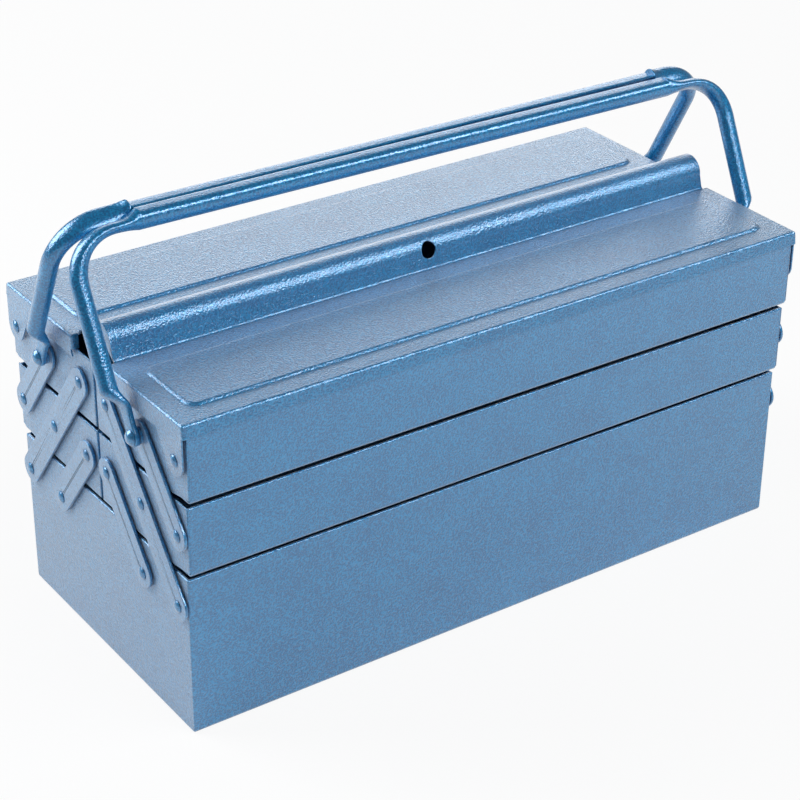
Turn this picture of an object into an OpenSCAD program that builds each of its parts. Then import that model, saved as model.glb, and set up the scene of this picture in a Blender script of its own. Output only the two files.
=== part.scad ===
// Cantilever tool box of folded sheet steel: a bottom box, two middle trays and two
// lidded top trays, carried by parallel flat links at both ends, with two carrying
// handles that meet over a padlock ridge.  X runs along the box, Y from front to
// back, Z up; the origin is on the ground under the middle of the box.

/* [Bottom box] */
// Length of the bottom box and of every tray
box_l = 430; // [380:1:520]
// Depth of the bottom box from front to back
box_d = 196; // [184:1:230]
// Height of the bottom box
box_h = 103; // [80:1:140]
// Thickness of the sheet steel
sheet_t = 1; // [0.8:0.1:1.2]
// Outside radius of the folds
fold_r = 2.5; // [1.8:0.1:4]
// Height of the folded hem inside each rim
hem_h = 7; // [4:0.5:9]

/* [Trays] */
// Height of the middle trays
mid_h = 43.8; // [38:0.1:60]
// Space between the bottom box and the front wall of the middle trays
mid_gap = 3.2; // [3:0.1:8]
// Space between the middle trays and the front wall of the top trays
top_gap = 3.6; // [3:0.1:9]
// Height from the floor of the top trays to the top of the lids
top_level_h = 49.4; // [44:0.1:60]
// How far the middle trays stand proud of the bottom box
mid_step = 2.5; // [0.5:0.1:5]
// How far the top trays stand proud of the middle trays
top_step = 2.5; // [0.5:0.1:5]
// Space between the front and the back trays
centre_gap = 2.4; // [1:0.1:4]
// Space under the end plates of each level
level_gap = 2.8; // [0.6:0.1:3]
// Length of the slope where an end plate rises to the front wall
slope_l = 18; // [8:1:30]

/* [Links] */
// Width of the links
link_w = 18; // [14:0.5:20]
// Thickness of the links
link_t = 1.8; // [1.2:0.1:2.5]
// Space between the innermost links and the middle of the box
link_side = 3; // [1:0.5:5]
// Depth of the lowest pivots below the rim of the bottom box
pivot_drop = 20; // [15:0.5:22]
// Rise of the long and the upper links from the middle trays to the top trays
top_rise = 45.5; // [44:0.5:49]
// Distance of the outer pivots from the faces of the bottom box and the middle trays
pivot_inset = 8.5; // [8:0.5:14]

/* [Rivets] */
// Diameter of the rivet shanks
rivet_d = 5; // [4:0.1:6]
// Diameter of the rivet heads
head_d = 7.6; // [7:0.1:10]
// Height of the rivet heads
head_h = 1.8; // [1:0.1:2.5]
// Diameter of the rivet heads that hold the handles
eye_head_d = 9.5; // [8:0.1:11]
// Height of the rivet heads that hold the handles
eye_head_h = 3; // [1.5:0.1:4]
// Thickness of the washers behind the links
washer_t = 0.6; // [0.4:0.1:1.5]
// Diameter of the washers
washer_d = 11; // [9:0.5:13]
// Radial clearance of a turning pivot
run_fit = 0.08; // [0.03:0.01:0.1]

/* [Lids] */
// Depth of the skirt along the outer edge of the lids
skirt_h = 8; // [5:0.5:12]
// Depth of the end flange beside the ridge
flange_h = 13; // [9:0.5:14]
// Radius of the hinge ears
ear_r = 9; // [7:0.5:10]
// Distance of the lid pivot from the face of the top tray
ear_inset = 9.5; // [9.5:0.5:12]
// Depth of the lid pivot below the top of the lid
ear_drop = 25; // [22:0.5:28]
// Height of the raised panel on each lid
panel_rise = 1.5; // [0.8:0.1:2.5]
// Margin of the raised panel at the outer edge of the lid
panel_edge = 16.4; // [12:0.2:24]
// Margin of the raised panel at the ends of the lid
panel_end = 14.3; // [10:0.1:24]
// Distance of the raised panel from the foot of the ridge
panel_foot = 16.5; // [8:0.5:24]
// Corner radius of the raised panel
panel_r = 7; // [3:0.5:12]

/* [Ridge] */
// Distance of the foot of the ridge from the middle of the box
ridge_foot = 20.5; // [18:0.5:24]
// Outside radius of the round crown
crown_r = 10.5; // [8:0.5:12]
// Distance of the crown axis in front of the middle of the box
crown_y = 8; // [6:0.5:10]
// Height of the crown axis above the lid
crown_z = 8.5; // [6:0.5:12]
// Angle of the crown past its top
crown_turn = 50; // [30:1:60]
// Distance of the ridge ends from the tray ends
ridge_end = 4; // [3:0.5:12]
// Diameter of the padlock hole
lock_d = 10; // [7:0.5:12]
// Height of the padlock hole above the lid
lock_z = 11; // [9:0.5:12]

/* [Handles] */
// Diameter of the handle tube
tube_d = 10.5; // [9:0.5:12]
// Wall of the handle tube
tube_t = 1.5; // [1:0.1:2]
// Distance of the legs from the tray ends
leg_off = 13; // [13:0.5:16]
// Height of the grips above the lids
grip_rise = 72; // [55:1:90]
// Radius of the handle bends at the middle of the tube
bend_r = 28; // [25:1:50]
// How much wider than the tube the grips are, in radius
grip_wide = 0.8; // [0.2:0.1:1]
// Depth of the flat pressed into each grip, towards the other one
grip_flat = 0.3; // [0.2:0.1:1]
// Thickness of the flattened eye
eye_t = 3.5; // [2.5:0.1:4]
// Width of the flattened eye
eye_w = 11; // [10:0.5:14]
// Distance from the eye to the round tube
crimp_h = 21; // [14:0.5:28]
// Distance of the eye inward of the leg's middle
eye_shift = 7; // [6.5:0.1:8]

/* [Hidden] */

// Small clearances and drawing values
play = 0.05;         // between faces that slide on each other
skirt_gap = 0.4;     // between a lid skirt and the tray wall
lid_gap = 1.6;       // between a lid flange and the tray end
swing_gap = 2;     // between a turning lid and the rim below it
nest_gap = 0.3;      // between the two handles
crimp_step = 0.3;    // from the round tube down to its crimped end
lip_side = 1.2;      // between the crown's lip and the back lid's slope, sideways
lip_under = 0.6;     // the same, upwards
flange_lap = 4;      // from the lower edge of a lid flange up to the inner walls
cut = 1;             // how far a cutting shape runs past a face
head_in = 1;         // thickness and margin of the closed heads inside the trays
foot_r = 1.5;        // fold between a lid and its ridge
foot_turn = 80;      // angle of that fold
slope_foot_y = 1;    // where the back slope starts, inward of the ridge's foot
slope_foot_z = 3;    // and above the lid
ear_turn = 30;       // where the slope of a lid flange meets the round of its ear
arc_n = 10;          // straight steps in a quarter fold
enamel = "steelblue";
enamel_dark = "royalblue";
rivet_blue = "lightsteelblue";

// Levels, from the ground up
mid_z = box_h + mid_gap;
mid_top = mid_z + mid_h;
top_z = mid_top + top_gap;
lid_z = top_z + top_level_h;

// Faces in front of the middle plane
box_y = box_d / 2;
mid_y = box_y + mid_step;
top_y = mid_y + top_step;
lid_y = top_y + skirt_gap + sheet_t;
inner_y = centre_gap / 2;

// Places along the box
end_x = box_l / 2;
lid_x = end_x + lid_gap + sheet_t;
ridge_x = end_x - ridge_end;
link_x = end_x + washer_t + play;
link_out = link_x + link_t + play;
leg_x = end_x + leg_off;
eye_out = leg_x - eye_shift + eye_t / 2;

// Pivots as [distance in front of the middle, height].  The three of a middle tray
// share its depth evenly, and every link leans by the same step.
box_outer = [box_y - pivot_inset, box_h - pivot_drop];
mid_outer = [mid_y - pivot_inset, box_outer[1] + mid_h + mid_gap];
mid_inner = [link_w / 2 + link_side, mid_outer[1]];
mid_centre = (mid_inner + mid_outer) / 2;
across = mid_inner - mid_centre;
step = mid_centre - box_outer;
box_inner = box_outer + across;
top_inner = mid_centre + step * top_rise / step[1];
top_outer = top_inner - across;
ear = [top_y - ear_inset, lid_z - ear_drop];

// The rim of a top tray stays inside the circle that its lid's underside sweeps
rim_reach = ear_drop - sheet_t - swing_gap;
top_rim = ear[1] + sqrt(rim_reach * rim_reach - ear_inset * ear_inset);
inner_rim = lid_z - flange_h + flange_lap;

// Handles
tube_r = tube_d / 2;
grip_y = tube_r + nest_gap / 2;
grip_z = lid_z + grip_rise;
handle_h = norm([top_outer[0] - grip_y, grip_z - top_outer[1]]);
tilt = atan2(top_outer[0] - grip_y, grip_z - top_outer[1]);

// Points of an arc from one angle to another
function arc(c, r, a0, a1, n = arc_n) =
    [for (i = [0 : n]) c + r * [cos(a0 + (a1 - a0) * i / n), sin(a0 + (a1 - a0) * i / n)]];
function unit(v) = v / norm(v);
function left(v) = [-v[1], v[0]];
// The point i of a line, moved sideways by t with a mitred corner
function aside(p, i, t) =
    let (a = unit(i > 0 ? p[i] - p[i - 1] : p[1] - p[0]),
         b = unit(i < len(p) - 1 ? p[i + 1] - p[i] : p[i] - p[i - 1]),
         m = unit(left(a) + left(b)))
    p[i] + m * t / (m * left(a));

// A folded sheet seen end on: the line p with thickness t to its left
module sheet(p, t = sheet_t) {
    polygon(concat(p, [for (i = [len(p) - 1 : -1 : 0]) aside(p, i, t)]));
}

// Draws a [Y, Z] outline as a solid between two places along X
module between(x0, x1) {
    translate([x0, 0, 0]) rotate([90, 0, 90]) linear_extrude(x1 - x0) children();
}
module both_ends() {
    children();
    mirror([1, 0, 0]) children();
}
module at_back() {
    mirror([0, 1, 0]) children();
}

// A round bar along X at a pivot of the front half
module pivot_bar(p, d, x0, x1) {
    translate([x0, -p[0], p[1]]) rotate([0, 90, 0]) cylinder(h = x1 - x0, d = d, $fn = 48);
}

// Front half: a folded trough between the end plates, open at the top.
// y0 and y1 are its inner and outer faces, z0 its floor, z1 its rim.
module trough(y0, y1, z0, z1, inner_z) {
    r = fold_r;
    reach = end_x - sheet_t;
    between(-reach, reach)
        sheet(concat([[-y1, z1]], arc([-y1 + r, z0 + r], r, 180, 270),
            arc([-y0 - r, z0 + r], r, 270, 360), [[-y0, inner_z]]));
    hem(-y1 + sheet_t, z1, reach);
    hem(-y0 - 2 * sheet_t, inner_z, reach);
}
// A flat hem along a wall whose inner face is at y
module hem(y, z, reach) {
    between(-reach, reach) translate([y, z - hem_h]) square([sheet_t, hem_h]);
}

// One plate of the trays: its lower edge drops over the level below and slopes up
// to the front wall, and its upper edge steps down beside the middle
module tray_end(y1, z0, z1, drop, inner_z, step_y) {
    between(end_x - sheet_t, end_x)
        polygon([[-inner_y, z0 - drop], [-y1 + slope_l, z0 - drop], [-y1, z0 + fold_r],
            [-y1, z1], [-step_y, z1], [-step_y, inner_z], [-inner_y, inner_z]]);
}

module bottom_box() {
    r = fold_r;
    color(enamel) difference() {
        union() {
            between(-end_x + sheet_t / 2, end_x - sheet_t / 2)
                sheet(concat([[-box_y, box_h]], arc([-box_y + r, r], r, 180, 270),
                    arc([box_y - r, r], r, 270, 360), [[box_y, box_h]]));
            both_ends() {
                between(end_x - sheet_t, end_x)
                    polygon(concat([[-box_y, box_h]], arc([-box_y + r, r], r, 180, 270),
                        arc([box_y - r, r], r, 270, 360), [[box_y, box_h]]));
                between(end_x - 2 * sheet_t, end_x - sheet_t)
                    translate([-box_y + sheet_t, box_h - hem_h])
                        square([box_d - 2 * sheet_t, hem_h]);
            }
            hem(-box_y + sheet_t, box_h, end_x - sheet_t / 2);
            hem(box_y - 2 * sheet_t, box_h, end_x - sheet_t / 2);
        }
        both_ends() for (p = [box_outer, box_inner]) {
            plate_hole(p);
            at_back() plate_hole(p);
        }
    }
}
module plate_hole(p) {
    pivot_bar(p, rivet_d + 2 * play, end_x - 2 * sheet_t - cut, end_x + cut);
}

module middle_tray() {
    color(enamel) trough(inner_y, mid_y, mid_z, mid_top, mid_top);
}
module middle_ends() {
    color(enamel) both_ends() difference() {
        tray_end(mid_y, mid_z, mid_top, mid_gap - level_gap, mid_top, mid_y / 2);
        for (p = [mid_inner, mid_centre, mid_outer]) plate_hole(p);
    }
}
module top_tray() {
    color(enamel) trough(inner_y, top_y, top_z, top_rim, inner_rim - play);
}
module top_ends() {
    color(enamel) both_ends() difference() {
        tray_end(top_y, top_z, top_rim, top_gap - level_gap, inner_rim - play,
            ridge_foot + 2 * sheet_t);
        for (p = [top_inner, top_outer, ear]) plate_hole(p);
    }
}

// A flat link at the left end of the front half, with a bore at each of the points
module link(points) {
    p = points[0];
    q = points[len(points) - 1];
    out = left(unit(q - p)) * link_w / 2;
    mirror([1, 0, 0]) color(enamel) difference() {
        union() {
            pivot_bar(p, link_w, link_x, link_x + link_t);
            pivot_bar(q, link_w, link_x, link_x + link_t);
            between(link_x, link_x + link_t) mirror([1, 0, 0])
                polygon([p + out, q + out, q - out, p - out]);
        }
        for (bore = points)
            pivot_bar(bore, rivet_d + 2 * run_fit, link_x - cut, link_x + link_t + cut);
    }
}
module long_link() {
    link([box_outer, mid_centre, top_inner]);
}
module lower_link() {
    link([box_inner, mid_inner]);
}
module upper_link() {
    link([mid_outer, top_outer]);
}

// A rivet through the end plate whose outer head starts at x1
module rivet(p, x1, d, h) {
    inside = end_x - sheet_t - play;
    dome_r = (d * d / 4 + h * h) / (2 * h);
    dome = asin(d / 2 / dome_r);
    translate([0, -p[0], p[1]]) rotate([0, 90, 0]) rotate_extrude($fn = 48)
        polygon(concat(
            [[0, inside - head_in], [rivet_d / 2 + head_in, inside - head_in],
                [rivet_d / 2 + head_in, inside], [rivet_d / 2, inside], [rivet_d / 2, x1]],
            arc([0, x1 + h - dome_r], dome_r, 90 - dome, 90, arc_n / 2)));
}
module washer(p, x0, x1, d) {
    difference() {
        pivot_bar(p, d, x0, x1);
        pivot_bar(p, rivet_d + 2 * play, x0 - cut, x1 + cut);
    }
}
module rivets(points, x1, d = head_d, h = head_h) {
    color(rivet_blue) both_ends() for (p = points) rivet(p, x1, d, h);
}
module washers(points) {
    color(rivet_blue) both_ends() for (p = points) washer(p, end_x, end_x + washer_t, washer_d);
}

// The sheet of a lid in front of the ridge, from the skirt to the point y, z
function lid_edge() = concat([[-lid_y, lid_z - skirt_h]],
    arc([-lid_y + fold_r, lid_z - fold_r], fold_r, 180, 90));

// Raised panel outline, also used smaller for the hollow under it
module panel(inset) {
    x = lid_x - panel_end - inset;
    y0 = ridge_foot + panel_foot + inset;
    y1 = lid_y - panel_edge - inset;
    r = panel_r - inset;
    translate([-x + r, -y1]) square([2 * x - 2 * r, y1 - y0]);
    translate([-x, -y1 + r]) square([2 * x, y1 - y0 - 2 * r]);
    for (sx = [-1, 1]) for (y = [y0 + r, y1 - r])
        translate([sx * (x - r), -y]) circle(r = r, $fn = 48);
}
module panel_slab(inset, z0, z1) {
    translate([0, 0, z0]) linear_extrude(z1 - z0) panel(inset);
}

// End flange of a lid, with the ear that turns on the tray
module lid_flange() {
    low = lid_z - flange_h;
    between(end_x + lid_gap, lid_x) {
        translate([-ear[0], ear[1]]) circle(r = ear_r, $fn = 64);
        polygon([[-ear[0] - ear_r, ear[1]], [-ear[0] - ear_r, lid_z - skirt_h],
            [-lid_y, lid_z - skirt_h], [-lid_y, lid_z - fold_r], [-lid_y + fold_r, lid_z],
            [-ridge_foot, lid_z], [-ridge_foot, low], [-ear[0] + 2 * ear_r, low],
            [-ear[0] + ear_r * cos(ear_turn), ear[1] - ear_r * sin(ear_turn)], [-ear[0], ear[1]]]);
    }
}

// A lid of the front half: mid_sheet is its folded section along the ridge
module lid(mid_sheet) {
    color(enamel) difference() {
        union() {
            between(-ridge_x, ridge_x) sheet(mid_sheet, -sheet_t);
            both_ends() {
                between(ridge_x, lid_x) sheet(concat(lid_edge(),
                    arc([-ridge_foot - fold_r, lid_z - fold_r], fold_r, 90, 0),
                    [[-ridge_foot, inner_rim]]), -sheet_t);
                lid_flange();
            }
            panel_slab(0, lid_z - sheet_t, lid_z + panel_rise);
        }
        panel_slab(sheet_t, lid_z - sheet_t - cut, lid_z + panel_rise - sheet_t);
        both_ends() pivot_bar(ear, rivet_d + 2 * run_fit, end_x - cut, lid_x + cut);
        translate([0, 0, lid_z + lock_z]) rotate([90, 0, 0])
            cylinder(h = 3 * ridge_foot, d = lock_d, center = true, $fn = 48);
    }
}

// The front lid folds up into the front wall and the round crown of the ridge
crown = [-crown_y, lid_z + crown_z];
function foot() =
    arc([-ridge_foot - foot_r, lid_z + foot_r], foot_r, 270, 270 + foot_turn, arc_n / 2);
function front_ridge() = concat(lid_edge(), foot(),
    arc(crown, crown_r, 180, 90 - crown_turn, 3 * arc_n));

// The back lid folds up into a short wall and slopes up to just behind the crown.
// It is drawn as its mirror image, in front of the middle.
lip = crown + crown_r * [sin(crown_turn), cos(crown_turn)];
function back_ridge() = concat(lid_edge(), foot(),
    [[slope_foot_y - ridge_foot, lid_z + slope_foot_z], [-lip[0] - lip_side, lip[1] - lip_under]]);

module front_lid() {
    lid(front_ridge());
}
module back_lid() {
    at_back() lid(back_ridge());
}

// Section of a grip: a round tube pressed into a D, flat towards the other handle
module grip_section(inset) {
    r = tube_r + grip_wide - inset;
    rotate(tilt) intersection() {
        union() {
            circle(r = r, $fn = 48);
            translate([0, -r]) square(2 * r);
        }
        translate([-r, -r]) square([r + tube_r - grip_flat - inset, 2 * r]);
    }
}
// Solid of one handle without its eyes, thinner by inset
module handle_bar(inset) {
    span = leg_x - bend_r;
    straight = handle_h - bend_r;
    both_ends() {
        translate([leg_x, 0, crimp_h]) cylinder(h = straight - crimp_h, r = tube_r - inset, $fn = 48);
        translate([span, 0, straight]) rotate([90, 0, 0])
            rotate_extrude(angle = 90, $fn = 96)
                translate([bend_r, 0]) circle(r = tube_r - inset, $fn = 48);
    }
    translate([-span, 0, handle_h]) rotate([90, 0, 90]) linear_extrude(2 * span)
        grip_section(inset);
}
module handle_eye() {
    eye_x = leg_x - eye_shift;
    difference() {
        union() {
            translate([eye_x, 0, 0]) rotate([0, 90, 0])
                cylinder(h = eye_t, d = eye_w, center = true, $fn = 48);
            translate([eye_x - eye_t / 2, -eye_w / 2, 0]) cube([eye_t, eye_w, crimp_h / 2]);
            hull() {
                translate([eye_x - eye_t / 2, -eye_w / 2, crimp_h / 2])
                    cube([eye_t, eye_w, play]);
                translate([leg_x, 0, crimp_h])
                    cylinder(h = tube_t, r = tube_r - crimp_step, $fn = 32);
            }
        }
        translate([eye_x - eye_t, 0, 0]) rotate([0, 90, 0])
            cylinder(h = 2 * eye_t, d = rivet_d + 2 * run_fit, $fn = 48);
    }
}
module front_handle() {
    color(enamel_dark) translate([0, -top_outer[0], top_outer[1]]) rotate([-tilt, 0, 0]) {
        difference() {
            handle_bar(0);
            handle_bar(tube_t);
        }
        both_ends() handle_eye();
    }
}

module box_rivets() {
    rivets([box_outer, box_inner], link_out);
    at_back() rivets([box_outer, box_inner], link_out);
}
module box_washers() {
    washers([box_outer, box_inner]);
    at_back() washers([box_outer, box_inner]);
}
module middle_rivets() {
    rivets([mid_inner, mid_centre, mid_outer], link_out);
}
module middle_washers() {
    washers([mid_inner, mid_centre, mid_outer]);
}
module top_rivets() {
    rivets([top_inner], link_out);
}
module top_washers() {
    washers([top_inner, top_outer]);
}
module lid_rivets() {
    rivets([ear], lid_x + play);
}
module handle_rivets() {
    rivets([top_outer], eye_out + play, eye_head_d, eye_head_h);
}
// The bush that holds a handle eye clear of the link behind it
module handle_spacers() {
    color(rivet_blue) both_ends()
        washer(top_outer, link_out, eye_out - eye_t - play, washer_d - 1);
}

bottom_box();
box_rivets();
box_washers();
middle_tray();  // front_middle_tray
middle_ends();  // front_middle_ends
middle_rivets();  // front_middle_rivets
middle_washers();  // front_middle_washers
at_back() middle_tray();  // back_middle_tray
at_back() middle_ends();  // back_middle_ends
at_back() middle_rivets();  // back_middle_rivets
at_back() middle_washers();  // back_middle_washers
top_tray();  // front_top_tray
top_ends();  // front_top_ends
top_rivets();  // front_top_rivets
top_washers();  // front_top_washers
at_back() top_tray();  // back_top_tray
at_back() top_ends();  // back_top_ends
at_back() top_rivets();  // back_top_rivets
at_back() top_washers();  // back_top_washers
front_lid();
lid_rivets();  // front_lid_rivets
back_lid();
at_back() lid_rivets();  // back_lid_rivets
front_handle();
handle_rivets();  // front_handle_rivets
handle_spacers();  // front_handle_spacers
at_back() front_handle();  // back_handle
at_back() handle_rivets();  // back_handle_rivets
at_back() handle_spacers();  // back_handle_spacers
long_link();  // front_left_long_link
mirror([1, 0, 0]) long_link();  // front_right_long_link
at_back() long_link();  // back_left_long_link
at_back() mirror([1, 0, 0]) long_link();  // back_right_long_link
lower_link();  // front_left_lower_link
mirror([1, 0, 0]) lower_link();  // front_right_lower_link
at_back() lower_link();  // back_left_lower_link
at_back() mirror([1, 0, 0]) lower_link();  // back_right_lower_link
upper_link();  // front_left_upper_link
mirror([1, 0, 0]) upper_link();  // front_right_upper_link
at_back() upper_link();  // back_left_upper_link
at_back() mirror([1, 0, 0]) upper_link();  // back_right_upper_link
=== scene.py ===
"""Looks of a five-tray cantilever tool box in blue hammered enamel.

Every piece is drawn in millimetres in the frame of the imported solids, brought to metres as
it is finished, and rides the body that carries it.
"""

import logging
import math
from collections.abc import Callable, Iterable, Sequence
from dataclasses import dataclass
from enum import Enum
from typing import ClassVar

import bmesh
import bpy
from bmesh.types import BMEdge, BMesh, BMFace, BMVert
from mathutils import Matrix, Vector

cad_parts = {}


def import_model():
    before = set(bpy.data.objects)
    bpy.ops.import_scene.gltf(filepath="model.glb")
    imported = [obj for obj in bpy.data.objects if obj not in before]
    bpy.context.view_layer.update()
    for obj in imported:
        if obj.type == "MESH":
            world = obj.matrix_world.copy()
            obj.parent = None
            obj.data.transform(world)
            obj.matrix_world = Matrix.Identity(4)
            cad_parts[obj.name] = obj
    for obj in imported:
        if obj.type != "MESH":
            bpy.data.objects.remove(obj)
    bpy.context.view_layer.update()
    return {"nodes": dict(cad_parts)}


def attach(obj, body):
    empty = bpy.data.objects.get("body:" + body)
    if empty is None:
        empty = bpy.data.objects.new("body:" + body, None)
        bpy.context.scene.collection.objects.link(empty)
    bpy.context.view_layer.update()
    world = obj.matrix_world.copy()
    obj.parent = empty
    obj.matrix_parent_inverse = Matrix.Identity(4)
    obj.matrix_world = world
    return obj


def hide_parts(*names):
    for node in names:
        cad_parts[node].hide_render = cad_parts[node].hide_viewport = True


LOG = logging.getLogger("tool_box")
MM = 0.001
DOWN = (0, 0, -1)
WHITE = (1, 1, 1, 1)
Point2 = tuple[float, float]
Point3 = tuple[float, float, float]
Colour = tuple[float, float, float]
BMElement = BMVert | BMEdge | BMFace
Section = Callable[[float], Point2]
Station = tuple[Point2, float, Section]
Setting = float | Sequence[float] | bpy.types.NodeSocket


class Side(Enum):
    """The half of the box that a piece belongs to; the value is the sign of Y."""

    FRONT = -1
    BACK = 1

    @property
    def word(self) -> str:
        """The half's name as the nodes and bodies have it."""
        return self.name.lower()


class End(Enum):
    """The end of the box that a piece belongs to; the value is the sign of X."""

    LEFT = -1
    RIGHT = 1

    @property
    def word(self) -> str:
        """The end's name as the nodes have it."""
        return self.name.lower()


class Spot(Enum):
    """The record's material slots."""

    SHEET = "sheet_enamel"
    LINK = "link_enamel"
    HANDLE = "handle_enamel"
    RIVET = "rivet_enamel"
    WASHER = "washer_enamel"


@dataclass(frozen=True)
class Plan:
    """Sizes of the box in millimetres: the solids' own, but for the ridge's foot and ends."""

    box_l: float = 430.0
    box_d: float = 196.0
    box_h: float = 103.0
    sheet_t: float = 1.0
    sheet_edge: float = 0.35
    fold_r: float = 2.5
    hem_h: float = 7.0
    mid_h: float = 43.8
    mid_gap: float = 3.2
    top_gap: float = 3.6
    top_level_h: float = 49.4
    mid_step: float = 2.5
    top_step: float = 2.5
    centre_gap: float = 2.4
    level_gap: float = 2.8
    slope_l: float = 18.0
    link_w: float = 18.0
    link_t: float = 1.8
    link_side: float = 3.0
    pivot_drop: float = 20.0
    pivot_inset: float = 8.5
    top_rise: float = 45.5
    rivet_d: float = 5.0
    head_d: float = 7.6
    head_h: float = 1.8
    head_in: float = 1.0
    washer_t: float = 0.6
    play: float = 0.05
    run_fit: float = 0.08
    skirt_h: float = 8.0
    flange_h: float = 13.0
    flange_lap: float = 4.0
    ear_r: float = 9.0
    ear_inset: float = 9.5
    ear_drop: float = 25.0
    ear_turn: float = 30.0
    skirt_gap: float = 0.4
    lid_gap: float = 1.6
    swing_gap: float = 2.0
    panel_rise: float = 1.5
    panel_edge: float = 16.4
    panel_end: float = 14.3
    panel_foot: float = 16.5
    panel_r: float = 7.0
    ridge_foot: float = 20.5
    foot_r: float = 1.6
    foot_turn: float = 80.0
    crown_r: float = 10.5
    crown_y: float = 8.0
    crown_z: float = 8.5
    crown_turn: float = 50.0
    ridge_end: float = 2.2
    slope_foot_y: float = 1.0
    slope_foot_z: float = 3.0
    lip_side: float = 1.2
    lip_under: float = 0.6
    lock_d: float = 10.0
    lock_z: float = 11.0
    tube_d: float = 10.5
    leg_off: float = 13.0
    grip_rise: float = 72.0
    bend_r: float = 28.0
    grip_wide: float = 0.8
    grip_flat: float = 0.3
    nest_gap: float = 0.3
    eye_t: float = 3.5
    eye_w: float = 11.0
    eye_shift: float = 7.0
    eye_head_d: float = 9.5
    eye_head_h: float = 3.0

    @property
    def end_x(self) -> float:
        """Outer face of the tray ends."""
        return self.box_l / 2

    @property
    def lid_x(self) -> float:
        """Outer face of the lid flanges."""
        return self.end_x + self.lid_gap + self.sheet_t

    @property
    def ridge_x(self) -> float:
        """End of the ridge."""
        return self.end_x - self.ridge_end

    @property
    def box_y(self) -> float:
        """Front face of the bottom box."""
        return self.box_d / 2

    @property
    def mid_y(self) -> float:
        """Front face of the middle trays."""
        return self.box_y + self.mid_step

    @property
    def top_y(self) -> float:
        """Front face of the top trays."""
        return self.mid_y + self.top_step

    @property
    def lid_y(self) -> float:
        """Front face of the lids."""
        return self.top_y + self.skirt_gap + self.sheet_t

    @property
    def inner_y(self) -> float:
        """Face of the inner walls."""
        return self.centre_gap / 2

    @property
    def mid_z(self) -> float:
        """Floor of the middle trays."""
        return self.box_h + self.mid_gap

    @property
    def mid_top(self) -> float:
        """Rim of the middle trays."""
        return self.mid_z + self.mid_h

    @property
    def top_z(self) -> float:
        """Floor of the top trays."""
        return self.mid_top + self.top_gap

    @property
    def lid_z(self) -> float:
        """Top of the lids."""
        return self.top_z + self.top_level_h

    @property
    def inner_rim(self) -> float:
        """Rim of the inner walls of the top trays."""
        return self.lid_z - self.flange_h + self.flange_lap

    @property
    def top_rim(self) -> float:
        """Rim of the outer walls of the top trays, inside the lid's swing."""
        reach = self.ear_drop - self.sheet_t - self.swing_gap
        return self.ear[1] + math.sqrt(reach**2 - self.ear_inset**2)

    @property
    def box_outer(self) -> Point2:
        """Outer pivot of the bottom box, as distance from the middle and height."""
        return self.box_y - self.pivot_inset, self.box_h - self.pivot_drop

    @property
    def mid_outer(self) -> Point2:
        """Outer pivot of a middle tray."""
        return self.mid_y - self.pivot_inset, self.box_outer[1] + self.mid_h + self.mid_gap

    @property
    def mid_inner(self) -> Point2:
        """Inner pivot of a middle tray."""
        return self.link_w / 2 + self.link_side, self.mid_outer[1]

    @property
    def mid_centre(self) -> Point2:
        """Middle pivot of a middle tray."""
        return (self.mid_inner[0] + self.mid_outer[0]) / 2, self.mid_outer[1]

    @property
    def pitch(self) -> float:
        """Distance between the pivots of a tray."""
        return self.mid_outer[0] - self.mid_centre[0]

    @property
    def box_inner(self) -> Point2:
        """Inner pivot of the bottom box."""
        return self.box_outer[0] - self.pitch, self.box_outer[1]

    @property
    def top_inner(self) -> Point2:
        """Inner pivot of a top tray.

        Returns:
            Its distance from the middle, and its height.
        """
        run = self.mid_centre[0] - self.box_outer[0]
        share = self.top_rise / (self.mid_centre[1] - self.box_outer[1])
        return self.mid_centre[0] + run * share, self.mid_centre[1] + self.top_rise

    @property
    def top_outer(self) -> Point2:
        """Outer pivot of a top tray, which a handle shares."""
        return self.top_inner[0] + self.pitch, self.top_inner[1]

    @property
    def ear(self) -> Point2:
        """Pivot of a lid."""
        return self.top_y - self.ear_inset, self.lid_z - self.ear_drop

    @property
    def link_x(self) -> float:
        """Inner face of the links."""
        return self.end_x + self.washer_t + self.play

    @property
    def link_out(self) -> float:
        """Where a rivet head starts over a link."""
        return self.link_x + self.link_t + self.play

    @property
    def leg_x(self) -> float:
        """Middle of the handle legs."""
        return self.end_x + self.leg_off

    @property
    def eye_out(self) -> float:
        """Outer face of the handle eyes."""
        return self.leg_x - self.eye_shift + self.eye_t / 2

    @property
    def tube_r(self) -> float:
        """Radius of the handle tube."""
        return self.tube_d / 2

    @property
    def grip_run(self) -> Point2:
        """From a handle's pivot to its grip, inwards and up."""
        inwards = self.top_outer[0] - self.tube_r - self.nest_gap / 2
        return inwards, self.lid_z + self.grip_rise - self.top_outer[1]

    @property
    def crown(self) -> Point2:
        """Axis of the crown, in Y and Z."""
        return -self.crown_y, self.lid_z + self.crown_z


PLAN = Plan()


# Drawing in a bmesh


def arc(centre: Point2, radius: float, start: float, end: float, steps: int) -> list[Point2]:
    """Points on an arc in the YZ plane.

    Args:
        centre: Middle of the arc.
        radius: Its radius.
        start: First angle in degrees, from +Y towards +Z.
        end: Last angle in degrees.
        steps: Number of equal steps.

    Returns:
        The points, both ends included.
    """
    turns = [math.radians(start + (end - start) * i / steps) for i in range(steps + 1)]
    return [(centre[0] + radius * math.cos(t), centre[1] + radius * math.sin(t)) for t in turns]


def chain(bm: BMesh, points: Sequence[Point3], closed: bool = False) -> list[BMEdge]:
    """A line of edges through the points.

    Args:
        bm: The mesh to draw in.
        points: Corners of the line.
        closed: Whether the last point joins the first.

    Returns:
        The edges, in order.
    """
    verts = [bm.verts.new(p) for p in points]
    pairs = list(zip(verts, verts[1:] + verts[:1]))
    return [bm.edges.new(pair) for pair in (pairs if closed else pairs[:-1])]


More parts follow.
